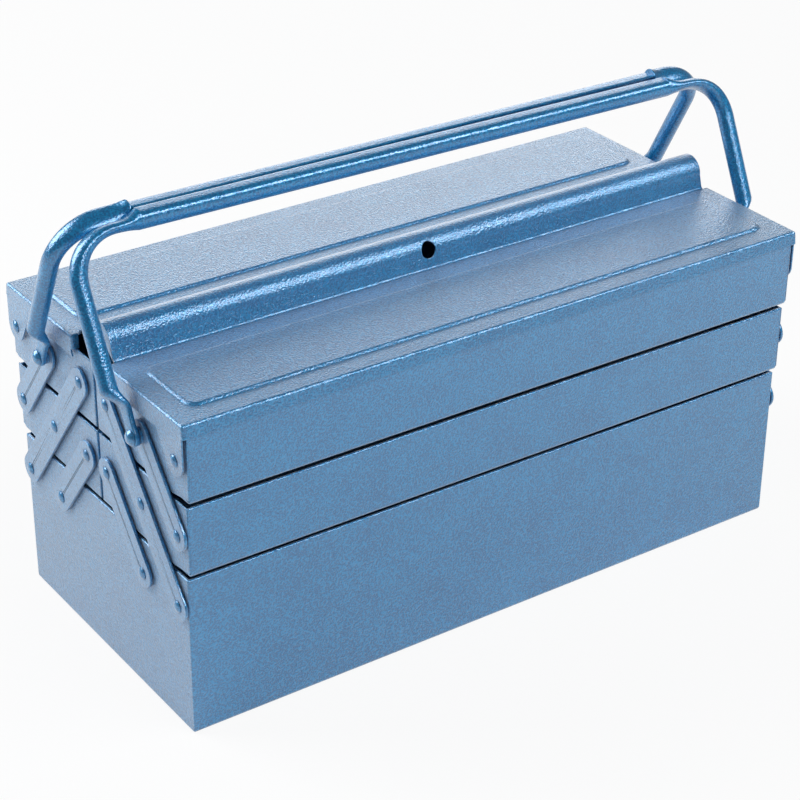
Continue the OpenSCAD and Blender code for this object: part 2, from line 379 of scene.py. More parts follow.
def each_once(geom: Iterable[BMElement]) -> list[BMElement]:
    """The elements in order, each only once."""
    return list(dict.fromkeys(geom))


def verts_of(edges: Sequence[BMEdge]) -> list[BMVert]:
    """The vertices of some edges, each once and in order."""
    return each_once(v for e in edges for v in e.verts)


def plates_of(made: Sequence[BMElement]) -> list[BMFace]:
    """The faces among what an operator made."""
    return [g for g in made if isinstance(g, BMFace)]


def lines_of(made: Sequence[BMElement]) -> list[BMEdge]:
    """The edges among what an operator made."""
    return [g for g in made if isinstance(g, BMEdge)]


def points_of(made: Sequence[BMElement]) -> list[BMVert]:
    """The vertices among what an operator made."""
    return [g for g in made if isinstance(g, BMVert)]


def mirror_ends(bm: BMesh, merge: float = 0.0) -> None:
    """Adds the left-hand end's copy of a mesh drawn for the right-hand end.

    Args:
        bm: The mesh.
        merge: How near the middle the two halves are joined.
    """
    geom = [*bm.verts, *bm.edges, *bm.faces]
    bmesh.ops.mirror(bm, geom=geom, axis="X", merge_dist=merge)


def push(bm: BMesh, edges: Sequence[BMEdge], step: Point3) -> list[BMEdge]:
    """Draws edges out into faces.

    Args:
        bm: The mesh.
        edges: The edges to draw out.
        step: How far, along X, Y and Z.

    Returns:
        The edges at the far side.
    """
    made = bmesh.ops.extrude_edge_only(bm, edges=list(edges))["geom"]
    verts = points_of(made)
    bmesh.ops.translate(bm, verts=verts, vec=step)
    far = set(verts)
    return [e for e in lines_of(made) if set(e.verts) <= far]


def roll(
    bm: BMesh, edges: Sequence[BMEdge], centre: Point2, degrees: float, steps: int
) -> list[BMEdge]:
    """Turns edges round an axis along X, which leaves a curved sheet behind them.

    Args:
        bm: The mesh.
        edges: The edges to turn.
        centre: The axis, in Y and Z.
        degrees: How far they turn.
        steps: Number of strips.

    Returns:
        The edges at the far side.
    """
    made = bmesh.ops.spin(
        bm,
        geom=verts_of(edges) + list(edges),
        cent=(0, *centre),
        axis=(1, 0, 0),
        angle=math.radians(degrees),
        steps=steps,
        use_merge=False,
        use_duplicate=False,
    )["geom_last"]
    return lines_of(made)


def round_off(
    bm: BMesh,
    geom: Sequence[BMEdge | BMVert],
    offset: float,
    segments: int,
    affect: str = "EDGES",
) -> None:
    """Rounds edges or corners.

    Args:
        bm: The mesh.
        geom: The edges, or the vertices, to round.
        offset: How far the round reaches from them.
        segments: Number of steps in it.
        affect: "EDGES" or "VERTICES".
    """
    bmesh.ops.bevel(
        bm,
        geom=list(geom),
        offset=offset,
        offset_type="OFFSET",
        segments=segments,
        profile=0.5,
        affect=affect,
        clamp_overlap=True,
        material=-1,
    )


def slab(bm: BMesh, loops: Sequence[Sequence[Point2]], x0: float, x1: float) -> list[BMFace]:
    """A flat plate with holes, in a plane across X.

    Args:
        bm: The mesh.
        loops: The outline and any holes, in Y and Z.
        x0: Where the plate starts along X.
        x1: Where it ends.

    Returns:
        The faces at x1.
    """
    edges = [e for loop in loops for e in chain(bm, [(x0, *p) for p in loop], True)]
    filled = bmesh.ops.triangle_fill(
        bm, use_beauty=True, use_dissolve=False, edges=edges, normal=(1, 0, 0)
    )["geom"]
    flat = plates_of(filled)
    made = bmesh.ops.extrude_face_region(bm, geom=flat, use_keep_orig=True)["geom"]
    bmesh.ops.translate(bm, verts=points_of(made), vec=(x1 - x0, 0, 0))
    return plates_of(made)


def ease(part: float) -> float:
    """A soft step from 0 to 1."""
    part = min(max(part, 0.0), 1.0)
    return part * part * (3 - 2 * part)


def mixed(one: Section, two: Section, share: float) -> Section:
    """A section between two others.

    Args:
        one: The section at share 0.
        two: The section at share 1.
        share: How far it is on the way.

    Returns:
        The section.
    """

    def shape(turn: float) -> Point2:
        """The section's point at an angle."""
        (a, b), (c, d) = one(turn), two(turn)
        return a + (c - a) * share, b + (d - b) * share

    return shape


def circle(centre: Point2, radius: float, steps: int = 28) -> list[Point2]:
    """A closed circle of points in the YZ plane."""
    return arc(centre, radius, 0, 360, steps)[:-1]


def lathe(bm: BMesh, profile: Sequence[Point2], pivot: Point2, steps: int = 24) -> None:
    """Turns a profile round an axis along X.

    Args:
        bm: The mesh.
        profile: Points as place along X and radius.
        pivot: The axis, in Y and Z.
        steps: Number of facets round it.
    """
    edges = chain(bm, [(x, pivot[0] + r, pivot[1]) for x, r in profile])
    bmesh.ops.spin(
        bm,
        geom=verts_of(edges) + edges,
        cent=(0, *pivot),
        axis=(1, 0, 0),
        angle=2 * math.pi,
        steps=steps,
        use_merge=True,
        use_duplicate=False,
    )


def at_end(bm: BMesh, end: End) -> None:
    """Mirrors a mesh that was drawn for the right-hand end."""
    if end is End.LEFT:
        bmesh.ops.scale(bm, vec=(-1, 1, 1), verts=bm.verts)


# Finishes


class Wiring:
    """A node tree, filled node by node."""

    def __init__(self, owner: bpy.types.Material | bpy.types.World) -> None:
        """Empties the owner's node tree.

        Args:
            owner: The material or world to fill.
        """
        owner.use_nodes = True
        self._tree = owner.node_tree
        self._tree.nodes.clear()

    def add(self, kind: str, inputs: dict[str | int, Setting]) -> bpy.types.Node:
        """Adds a node.

        Args:
            kind: The node's type, without the words that every type starts with.
            inputs: For each input, its value or the socket that feeds it.

        Returns:
            The node.
        """
        node = self._tree.nodes.new(f"ShaderNode{kind}")
        for name, setting in inputs.items():
            if isinstance(setting, bpy.types.NodeSocket):
                self._tree.links.new(setting, node.inputs[name])
            else:
                node.inputs[name].default_value = setting
        return node

    def noise(
        self, place: bpy.types.NodeSocket, scale: float, detail: float
    ) -> bpy.types.NodeSocket:
        """A cloudy noise.

        Args:
            place: The coordinates it is laid on.
            scale: Its scale per metre.
            detail: How many finer layers it has.

        Returns:
            Its strength, from 0 to 1.
        """
        settings = {"Scale": scale, "Detail": detail, "Roughness": 0.55, "Vector": place}
        return self.add("TexNoise", settings).outputs["Fac"]

    def combine(self, operation: str, inputs: dict[str | int, Setting]) -> bpy.types.NodeSocket:
        """A sum, product or choice of sockets.

        Args:
            operation: Its name, such as "MULTIPLY".
            inputs: Its terms by place.

        Returns:
            The outcome.
        """
        node = self.add("Math", inputs)
        node.operation = operation
        return node.outputs["Value"]

    def seen(self, camera: float, mirror: float) -> bpy.types.NodeSocket:
        """How much a surface glows by itself, for the rays that look straight at it.

        Args:
            camera: The share for the camera's rays.
            mirror: The share for rays reflected or let through.

        Returns:
            The share.
        """
        path = self.add("LightPath", {}).outputs
        rays = {0: path["Is Glossy Ray"], 1: path["Is Transmission Ray"]}
        mirrored = self.combine("MAXIMUM", rays)
        scaled = self.combine("MULTIPLY", {0: mirrored, 1: mirror})
        terms = {0: path["Is Camera Ray"], 1: camera, 2: scaled}
        return self.combine("MULTIPLY_ADD", terms)


@dataclass(frozen=True)
class Enamel:
    """Hammered enamel, baked on steel: a dark glossy blue with a fine leathery skin.

    Attributes:
        name: The material's name.
        colour: The paint's colour.
        pool: Its deeper colour where it has pooled.
        tone_low: Strength of the noise up to which the paint has pooled.
        tone_high: Strength from which it has its own colour.
        tone_grain: How much of that strength comes from the grain.
        tone_scale: Scale of the rest of it, per metre.
        metallic: How metallic the paint is.
        rough_low: Roughness of its smoothest spots.
        rough_high: Roughness of its dullest spots.
        rough_scale: Scale of the spots, per metre.
        coat_rough: Roughness of its clear coat.
        coat_ior: Refraction of its clear coat.
        cell: Size of the leathery cells, in millimetres.
        depth: Height of the cells, in millimetres.
        sag: Height of the long sags of sheet and paint, in millimetres.
        sag_scale: Scale of the sags, per metre.
        sheen: Strength of the dusty sheen.
        sheen_rough: Its roughness.
        ior: Refraction of the paint under its coat.
        cell_soft: How softly the leathery cells meet.
        fine: Scale of the finer grain among them, per cell.
    """

    name: str
    colour: Colour = (0.0, 0.285, 0.61)
    pool: Colour = (0.0, 0.155, 0.385)
    tone_low: float = 0.44
    tone_high: float = 0.56
    tone_grain: float = 0.85
    tone_scale: float = 38.0
    metallic: float = 0.4
    rough_low: float = 0.26
    rough_high: float = 0.38
    rough_scale: float = 420.0
    coat_rough: float = 0.13
    coat_ior: float = 1.85
    cell: float = 1.15
    depth: float = 0.45
    sag: float = 0.08
    sag_scale: float = 55.0
    sheen: float = 0.65
    sheen_rough: float = 0.5
    ior: float = 1.5
    cell_soft: float = 0.6
    fine: float = 1.6

    def build(self) -> bpy.types.Material:
        """The finish as a node material.

        Returns:
            The material, reading Object coordinates in metres.
        """
        material = bpy.data.materials.new(self.name)
        wires = Wiring(material)
        place = wires.add("TexCoord", {}).outputs["Object"]
        grain = self._grain(wires, place)
        skin = self._skin(wires, place, grain)
        settings = {
            "Base Color": self._tones(wires, place, grain),
            "Metallic": self.metallic,
            "Roughness": self._spots(wires, place),
            "IOR": self.ior,
            "Normal": skin,
            "Specular IOR Level": 0.5,
            "Coat Weight": 1.0,
            "Coat Roughness": self.coat_rough,
            "Coat IOR": self.coat_ior,
            "Coat Normal": skin,
            "Sheen Weight": self.sheen,
            "Sheen Roughness": self.sheen_rough,
        }
        paint = wires.add("BsdfPrincipled", settings)
        wires.add("OutputMaterial", {"Surface": paint.outputs["BSDF"]})
        return material

    def _tones(
        self, wires: Wiring, place: bpy.types.NodeSocket, grain: bpy.types.NodeSocket
    ) -> bpy.types.NodeSocket:
        """The paint's colour, deeper where it has pooled.

        Args:
            wires: The material's nodes.
            place: Object coordinates.
            grain: Height of the leathery cells.

        Returns:
            The colour.
        """
        cloud = wires.noise(place, self.tone_scale, 3.0)
        tone = wires.add("Mix", {"Factor": self.tone_grain, "A": cloud, "B": grain})
        ramp = wires.add("ValToRGB", {"Fac": tone.outputs["Result"]})
        low, high = ramp.color_ramp.elements
        low.position, high.position = self.tone_low, self.tone_high
        low.color, high.color = (*self.pool, 1.0), (*self.colour, 1.0)
        return ramp.outputs["Color"]

    def _spots(self, wires: Wiring, place: bpy.types.NodeSocket) -> bpy.types.NodeSocket:
        """The paint's roughness, with duller and smoother spots.

        Args:
            wires: The material's nodes.
            place: Object coordinates.

        Returns:
            The roughness.
        """
        settings = {
            "Value": wires.noise(place, self.rough_scale, 2.0),
            "From Min": 0.3,
            "From Max": 0.7,
            "To Min": self.rough_low,
            "To Max": self.rough_high,
        }
        return wires.add("MapRange", settings).outputs["Result"]

    def _grain(self, wires: Wiring, place: bpy.types.NodeSocket) -> bpy.types.NodeSocket:
        """The height of the fine leathery cells.

        Args:
            wires: The material's nodes.
            place: Object coordinates.

        Returns:
            The height.
        """
        scale = 1.0 / (self.cell * MM)
        cells = wires.add("TexVoronoi", {"Vector": place})
        cells.feature = "SMOOTH_F1"
        cells.inputs["Scale"].default_value = scale
        cells.inputs["Smoothness"].default_value = self.cell_soft
        fine = wires.noise(place, self.fine * scale, 2.0)
        settings = {"Factor": 0.5, "A": cells.outputs["Distance"], "B": fine}
        return wires.add("Mix", settings).outputs["Result"]

    def _skin(
        self, wires: Wiring, place: bpy.types.NodeSocket, grain: bpy.types.NodeSocket
    ) -> bpy.types.NodeSocket:
        """The bumps: long sags of the sheet and its paint under the grain.

        Args:
            wires: The material's nodes.
            place: Object coordinates.
            grain: Height of the leathery cells.

        Returns:
            The normal.
        """
        swell = wires.noise(place, self.sag_scale, 1.0)
        sag = wires.add("Bump", {"Strength": 1.0, "Distance": self.sag * MM, "Height": swell})
        settings = {
            "Strength": 1.0,
            "Distance": self.depth * MM,
            "Height": grain,
            "Normal": sag.outputs["Normal"],
        }
        return wires.add("Bump", settings).outputs["Normal"]


class Paintwork:
    """The finishes of the box, one for each material slot."""

    def __init__(self) -> None:
        """Mixes every finish."""
        mixes = {
            Spot.SHEET: {},
            Spot.LINK: {"depth": 0.16, "sag": 0.04},
            Spot.HANDLE: {"depth": 0.27, "sag": 0.05, "sheen": 0.0, "coat_ior": 1.8},
            Spot.RIVET: {"cell": 1.0, "depth": 0.03, "sag": 0.02},
            Spot.WASHER: {"cell": 1.0, "depth": 0.03, "sag": 0.02},
        }
        self._finishes = {
            spot: Enamel(spot.value, **mix).build() for spot, mix in mixes.items()
        }

    def of(self, spot: Spot) -> bpy.types.Material:
        """The finish of a slot."""
        return self._finishes[spot]


# Finishing a piece


@dataclass
class Bench:
    """Where a drawn mesh becomes a piece of the box.

    Attributes:
        paint: The finishes.
        count: How many pieces have left the bench.
    """

    paint: Paintwork
    count: int = 0

    def finish(
        self,
        bm: BMesh,
        name: str,
        body: str,
        spot: Spot,
        nodes: Sequence[str] = (),
        side: Side = Side.FRONT,
        wall: float = 0.0,
        outward: Point3 = (0, 0, 1),
        edge: float = 0.3,
        angle: float = 50.0,
    ) -> bpy.types.Object:
        """Turns a mesh in millimetres into a dressed piece on its body.

        Args:
            bm: The mesh, drawn for the front half; it is freed.
            name: The piece's name.
            body: The CAD body that it rides.
            spot: Its material slot.
            nodes: CAD nodes that it stands for.
            side: The half of the box that it belongs to.
            wall: Thickness laid inside an open skin, or 0 for a closed piece.
            outward: A direction in which the skin's outermost face looks.
            edge: Radius of its small edges.
            angle: Smallest angle of an edge that is rounded.

        Returns:
            The piece.
        """
        if side is Side.BACK:
            bmesh.ops.scale(bm, vec=(1, -1, 1), verts=bm.verts)
        bmesh.ops.remove_doubles(bm, verts=bm.verts, dist=0.005)
        bmesh.ops.recalc_face_normals(bm, faces=bm.faces)
        if wall:
            self._face(bm, Vector(outward))
        if not edge:
            for sharp in bm.edges:
                sharp.smooth = sharp.calc_face_angle(0.0) < math.radians(angle)
        bmesh.ops.scale(bm, vec=(MM, MM, MM), verts=bm.verts)
        mesh = bpy.data.meshes.new(name)
        bm.to_mesh(mesh)
        bm.free()
        mesh.polygons.foreach_set("use_smooth", [True] * len(mesh.polygons))
        mesh.materials.append(self.paint.of(spot))
        piece = bpy.data.objects.new(name, mesh)
        bpy.context.scene.collection.objects.link(piece)
        if wall:
            shell = piece.modifiers.new("wall", "SOLIDIFY")
            shell.thickness = wall * MM
            shell.offset = -1
            shell.use_even_offset = True
        if edge:
            soft = piece.modifiers.new("edges", "BEVEL")
            soft.width = edge * MM
            soft.segments = 2
            soft.limit_method = "ANGLE"
            soft.angle_limit = math.radians(angle)
        shade = piece.modifiers.new("shade", "WEIGHTED_NORMAL")
        shade.keep_sharp = True
        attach(piece, body)
        if nodes:
            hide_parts(*nodes)
        self.count += 1
        LOG.info("%s on %s: %d faces", name, body, len(mesh.polygons))
        return piece

    @staticmethod
    def _face(bm: BMesh, outward: Vector) -> None:
        """Turns a skin so that its outermost face looks outward.

        Args:
            bm: The mesh.
            outward: The direction in which that face lies and looks.
        """
        far = max(bm.faces, key=lambda f: f.calc_center_median().dot(outward))
        if far.normal.dot(outward) < 0:
            bmesh.ops.reverse_faces(bm, faces=bm.faces)


# The boxes and trays


def trough(near: Point2, far: Point2, floor: float, radius: float) -> list[Point2]:
    """The section of a folded sheet: wall, floor and wall.

    Args:
        near: Top of the wall in front, in Y and Z.
        far: Top of the wall behind.
        floor: Height of the floor.
        radius: Radius of the two folds.

    Returns:
        The points, in order.
    """
    middle, steps = floor + radius, 6
    return [
        near,
        *arc((near[0] + radius, middle), radius, 180, 270, steps),
        *arc((far[0] - radius, middle), radius, 270, 360, steps),
        far,
    ]


def hem(
    bm: BMesh,
    edges: Sequence[BMEdge],
    limits: tuple[Point2, Point2],
    width: float,
    depth: float,
) -> None:
    """Folds a rim inwards and down over a round lip.

    Args:
        bm: The mesh.
        edges: The rim.
        limits: Lowest and highest X and Y of the outer faces.
        width: Thickness of the hem.
        depth: Its height.
    """
    low, high = limits
    radius, steps = width / 2, 6
    bmesh.ops.translate(bm, verts=verts_of(edges), vec=(0, 0, -radius))
    lip = arc((0, 0), radius, 180, 0, steps)
    for (near, under), (far, over) in zip(lip, lip[1:]):
        edges = push(bm, edges, (0, 0, over - under))
        reach = far + radius
        for vert in verts_of(edges):
            vert.co.x = min(max(vert.co.x, low[0] + reach), high[0] - reach)
            vert.co.y = min(max(vert.co.y, low[1] + reach), high[1] - reach)
    push(bm, edges, (0, 0, radius - depth))


@dataclass
class BottomBox:
    """The deep box at the bottom.

    Attributes:
        plan: Sizes of the box.
        corner: Radius of its upright and lower end edges.
        hem_w: Thickness of its hem.
    """

    plan: Plan
    corner: float = 1.2
    hem_w: float = 2.1

    def build(self, bench: Bench) -> None:
        """Builds the box.

        Args:
            bench: Where pieces are finished.
        """
        p = self.plan
        bm = bmesh.new()
        profile = trough((-p.box_y, p.box_h), (p.box_y, p.box_h), 0.0, p.fold_r)
        near = chain(bm, [(-p.end_x, *q) for q in profile])
        far = push(bm, near, (p.box_l, 0, 0))
        for line in (near, far):
            ends = [v for v in verts_of(line) if abs(v.co.z - p.box_h) < MM]
            bmesh.ops.edgeloop_fill(bm, edges=[*line, bm.edges.new(ends)])
        round_off(bm, near + far, self.corner, 4)
        rim = [e for e in bm.edges if e.is_boundary]
        limits = ((-p.end_x, -p.box_y), (p.end_x, p.box_y))
        hem(bm, rim, limits, self.hem_w, p.hem_h)
        bench.finish(
            bm,
            "bottom_box_shell",
            "bottom_box",
            Spot.SHEET,
            ["bottom_box"],
            wall=p.sheet_t,
            outward=DOWN,
            edge=p.sheet_edge,
        )


@dataclass
class Tray:
    """An open tray of one half: a folded trough between two end plates.

    Attributes:
        plan: Sizes of the box.
        side: The tray's half.
        name: The tray's node and body, without its half.
        face: Its outer face.
        floor: Height of its floor.
        rim: Height of its outer rim.
        inner_rim: Height of its inner rim.
        drop: How far the end plates reach below the floor.
        notch: Where the plates step down to the inner rim, from the middle.
        hem_w: Thickness of its hems.
        soft: Radius of the plates' rounded border, as a share of the sheet.
    """

    plan: Plan
    side: Side
    name: str
    face: float
    floor: float
    rim: float
    inner_rim: float
    drop: float
    notch: float
    hem_w: float = 2.1
    soft: float = 0.9

    def build(self, bench: Bench) -> None:
        """Builds the trough and its two end plates.

        Args:
            bench: Where pieces are finished.
        """
        body = f"{self.side.word}_{self.name}"
        p = self.plan
        bm = bmesh.new()
        self._trough(bm)
        bench.finish(
            bm,
            f"{body}_trough",
            body,
            Spot.SHEET,
            [body],
            self.side,
            wall=p.sheet_t,
            outward=DOWN,
            edge=p.sheet_edge,
        )
        for end in End:
            bm = bmesh.new()
            outer = slab(bm, [self._outline()], p.end_x - p.sheet_t, p.end_x)
            border = [e for f in outer for e in f.edges if e.calc_face_angle(0) > 1]
            round_off(bm, each_once(border), self.soft * p.sheet_t, 4)
            at_end(bm, end)
            ends = body.replace("tray", "ends")
            bench.finish(
                bm, f"{ends}_{end.word}_plate", body, Spot.SHEET, [ends], self.side, edge=0
            )

    def _trough(self, bm: BMesh) -> None:
        """Draws the outer wall, floor and inner wall, with a hem along both rims.

        Args:
            bm: The mesh.
        """
        p = self.plan
        y0, y1 = -self.face, -p.inner_y
        profile = trough((y0, self.rim), (y1, self.inner_rim), self.floor, p.fold_r)
        reach = p.end_x - p.sheet_t
        near = chain(bm, [(-reach, *q) for q in profile])
        push(bm, near, (2 * reach, 0, 0))
        heights = (self.rim, self.inner_rim)
        rims = [
            e
            for e in bm.edges
            if abs(e.verts[0].co.x - e.verts[1].co.x) > 1
            and any(all(abs(v.co.z - h) < MM for v in e.verts) for h in heights)
        ]
        limits = ((-2 * p.end_x, y0), (2 * p.end_x, y1))
        hem(bm, rims, limits, self.hem_w, p.hem_h)

    def _outline(self) -> list[Point2]:
        """The outline of an end plate.

        Returns:
            Its corners, in Y and Z.
        """
        p = self.plan
        low = self.floor - self.drop
        return [
            (-p.inner_y, low),
            (-self.face + p.slope_l, low),
            (-self.face, self.floor + p.fold_r),
            (-self.face, self.rim),
            (-self.notch, self.rim),
            (-self.notch, self.inner_rim),
            (-p.inner_y, self.inner_rim),
        ]


def middle_tray(plan: Plan, side: Side) -> Tray:
    """The middle tray of one half.

    Args:
        plan: Sizes of the box.
        side: The half.

    Returns:
        The tray.
    """
    return Tray(
        plan,
        side,
        "middle_tray",
        face=plan.mid_y,
        floor=plan.mid_z,
        rim=plan.mid_top,
        inner_rim=plan.mid_top,
        drop=plan.mid_gap - plan.level_gap,
        notch=plan.mid_y / 2,
    )


def top_tray(plan: Plan, side: Side) -> Tray:
    """The top tray of one half.

    Args:
        plan: Sizes of the box.
        side: The half.

    Returns:
        The tray.
    """
    return Tray(
        plan,
        side,
        "top_tray",
        face=plan.top_y,
        floor=plan.top_z,
        rim=plan.top_rim,
        inner_rim=plan.inner_rim - plan.play,
        drop=plan.top_gap - plan.level_gap,
        notch=plan.ridge_foot + 2 * plan.sheet_t,
    )


# The lids


@dataclass
class Lid:
    """A lid with its raised panel, skirt, hinge ears and its part of the padlock ridge.

    Attributes:
        plan: Sizes of the box.
        side: The lid's half.
        fold: Radius of its folds.
        lean: How far the skirt leans in at the top.
        slope_w: Width of the slope round the raised panel.
        cell: Size of the faces round the padlock hole.
        snap: How far a corner may be from the hole's edge to be drawn onto it, in cells.
        slope: Steps of that slope, as width and rise; they add up to slope_sum.
        slope_sum: The whole width and rise of those steps.
    """

    plan: Plan
    side: Side
    fold: float = 1.8
    lean: float = 1.2
    slope_w: float = 3.2
    cell: float = 0.8
    snap: float = 1.2
    slope: ClassVar[tuple[Point2, ...]] = (
        (0.2, 0.04),
        (0.22, 0.2),
        (0.26, 0.51),
        (0.26, 0.51),
        (0.3, 0.2),
        (0.3, 0.04),
    )
    slope_sum: ClassVar[Point2] = (1.54, 1.5)

    def build(self, bench: Bench) -> None:
        """Builds the lid.

        Args:
            bench: Where pieces are finished.
        """
        p = self.plan
        bm = bmesh.new()
        top = self._top(bm)
        skirt = push(bm, [top[0]], (0, -self.lean, -p.skirt_h))
        drop = p.lid_z - p.inner_rim
        tabs = push(bm, [top[2]], (0, 0, -drop)), push(bm, [top[6]], (0, 0, -drop))
        folds = [top[0], top[1], top[2], top[6], top[7]]
        for sign, tab in zip((1, -1), tabs):
            folds += self._flange(bm, sign, verts_of(skirt), verts_of(tab))
        surface = self._ridge(bm, top[4])
        round_off(bm, folds, self.fold, 4)
        self._lock_hole(bm, surface)
        if self.side is Side.FRONT:
            self._cap(bm, p.ridge_x)
            self._cap(bm, -p.ridge_x)
        name = f"{self.side.word}_lid"
        bench.finish(
            bm,
            f"{name}_shell",
            name,
            Spot.SHEET,
            [name],
            self.side,
            wall=p.sheet_t,
            outward=(0, 0, 1),
            edge=0.3,
        )

    def _top(self, bm: BMesh) -> list[BMEdge]:
        """The flat of the lid round its raised panel.

        Args:
            bm: The mesh.

        Returns:
            The edges round the flat, from the outer edge by way of the right-hand end.
        """
        p = self.plan
        x, out, inn = p.lid_x, self.lean - p.lid_y, -p.ridge_foot
        foot = inn - p.foot_r
        rim = [
            (-x, out),
            (x, out),
            (x, inn),
            (p.ridge_x, inn),
            (p.ridge_x, foot),
            (-p.ridge_x, foot),
            (-p.ridge_x, inn),
            (-x, inn),
        ]
        outer = chain(bm, [(*q, p.lid_z) for q in rim], True)
        half = self.slope_w / 2
        length = 2 * (p.lid_x - p.panel_end + half)
        low, high = -p.lid_y + p.panel_edge - half, -p.ridge_foot - p.panel_foot + half
        made = bmesh.ops.create_grid(bm, x_segments=1, y_segments=1, size=0.5)["verts"]
        bmesh.ops.scale(bm, vec=(length, high - low, 1), verts=made)
        bmesh.ops.translate(bm, vec=(0, (low + high) / 2, p.lid_z), verts=made)
        panel = made[0].link_faces[0]
        round_off(bm, panel.verts, p.panel_r + half, 8, "VERTICES")
        panel = next(f for f in bm.faces if len(f.verts) > 8)
        edges = outer + list(panel.edges)
        bmesh.ops.triangle_fill(
            bm, use_beauty=True, use_dissolve=False, edges=edges, normal=(0, 0, 1)
        )
        for width, rise in self.slope:
            bmesh.ops.inset_region(
                bm,
                faces=[panel],
                thickness=width * self.slope_w / self.slope_sum[0],
                depth=rise * p.panel_rise / self.slope_sum[1],
                use_even_offset=True,
                use_boundary=True,
            )
        return outer

    def _flange(
        self, bm: BMesh, sign: int, skirt: Sequence[BMVert], tab: Sequence[BMVert]
    ) -> list[BMEdge]:
        """The end flange with its hinge ear.

        Args:
            bm: The mesh.
            sign: 1 for the right-hand end and -1 for the left.
            skirt: Lower corners of the skirt.
            tab: Lower corners of the inner tab at this end.

        Returns:
            The upright edges at the flange's two sides.
        """
        p = self.plan
        x = sign * p.lid_x
        (ey, ez), r, low = p.ear, p.ear_r, p.lid_z - p.flange_h
        start = next(v for v in skirt if abs(v.co.x - x) < MM)
        end = next(v for v in tab if abs(v.co.x - x) < MM)
        line = [(-ey - r, p.lid_z - p.skirt_h)]
        line += arc((-ey, ez), r, 180, 360 - p.ear_turn, 18)
        line += [(-ey + 2 * r, low), (-p.ridge_foot, low)]
        verts = [start, *(bm.verts.new((x, *q)) for q in line), end]
        edges = [bm.edges.new(pair) for pair in zip(verts, verts[1:])]
        sides = [
            next(e for e in v.link_edges if abs(e.other_vert(v).co.z - p.lid_z) < MM)
            for v in (start, end)
        ]
        corners = [next(v for v in e.verts if abs(v.co.z - p.lid_z) < MM) for e in sides]
        top = bm.edges.get(corners)
        bmesh.ops.edgeloop_fill(bm, edges=[*edges, *sides, top])
        return sides

    def _ridge(self, bm: BMesh, foot: BMEdge) -> Callable[[float], float]:
        """The sheet that rises from the flat: a round crown in front, a slope behind.

        Args:
            bm: The mesh.
            foot: The edge of the flat along the ridge.

        Returns:
            The sheet's Y at a height, as drawn for the front half.
        """
        p = self.plan
        axis = (-p.ridge_foot - p.foot_r, p.lid_z + p.foot_r)
        edges = roll(bm, [foot], axis, p.foot_turn, 5)
        turn = math.radians(p.foot_turn)
        start = (axis[0] + p.foot_r * math.sin(turn), axis[1] - p.foot_r * math.cos(turn))
        crown = p.crown
        if self.side is Side.FRONT:
            wall = (crown[0] - p.crown_r, crown[1])
            edges = self._climb(bm, edges, start, wall)
            roll(bm, edges, crown, -90 - p.crown_turn, 32)

            def surface(z: float) -> float:
                """The Y of the round ridge at a height."""
                if z < crown[1]:
                    part = (z - start[1]) / (wall[1] - start[1])
                    return start[0] + part * (wall[0] - start[0])
                return crown[0] - math.sqrt(max(p.crown_r**2 - (z - crown[1]) ** 2, 0.0))

            return surface
        turn = math.radians(p.crown_turn)
        low = (p.slope_foot_y - p.ridge_foot, p.lid_z + p.slope_foot_z)
        lip = (crown[0] + p.crown_r * math.sin(turn), crown[1] + p.crown_r * math.cos(turn))
        high = (-lip[0] - p.lip_side, lip[1] - p.lip_under)
        edges = push(bm, edges, (0, low[0] - start[0], low[1] - start[1]))
        self._climb(bm, edges, low, high)
        return lambda z: low[0] + (z - low[1]) / (high[1] - low[1]) * (high[0] - low[0])

    def _climb(
        self, bm: BMesh, edges: list[BMEdge], start: Point2, end: Point2
    ) -> list[BMEdge]:
        """Draws a flat strip in short steps, with one long step below the padlock hole.

        Args:
            bm: The mesh.
            edges: The edges that it starts from.
            start: Where they lie, in Y and Z.
            end: Where the strip ends.

        Returns:
            The edges at its end.
        """
        p = self.plan
        base = p.lid_z + p.lock_z - p.lock_d / 2 - self.cell
        part = max((base - start[1]) / (end[1] - start[1]), 0.0)
        count = max(round((end[1] - start[1]) * (1 - part) / self.cell), 1)
        run = (end[0] - start[0], end[1] - start[1])
        edges = push(bm, edges, (0, run[0] * part, run[1] * part))
        for _ in range(count):
            share = (1 - part) / count
            edges = push(bm, edges, (0, run[0] * share, run[1] * share))
        return edges

    def _cap(self, bm: BMesh, x: float) -> None:
        """Closes an end of the ridge.

        Args:
            bm: The mesh.
            x: Where the end is.
        """
        low = self.plan.lid_z - MM
        rim = [
            e
            for e in bm.edges
            if e.is_boundary and all(abs(v.co.x - x) < MM and v.co.z > low for v in e.verts)
        ]
        first, last = [v for v in verts_of(rim) if sum(v in e.verts for e in rim) == 1]
        bmesh.ops.edgeloop_fill(bm, edges=[*rim, bm.edges.new((first, last))])

    def _lock_hole(self, bm: BMesh, surface: Callable[[float], float]) -> None:
        """Opens the round padlock hole in the ridge.

        Args:
            bm: The mesh.
            surface: The ridge's Y at a height.
        """
        p = self.plan
        r, mid = p.lock_d / 2, p.lid_z + p.lock_z
        reach = r + 2 * self.cell

        def near(face: BMFace) -> bool:
            """Whether a face lies at the height of the hole."""
            spot = face.calc_center_median()
            return abs(spot.z - mid) < reach and abs(spot.y - surface(spot.z)) < 0.5

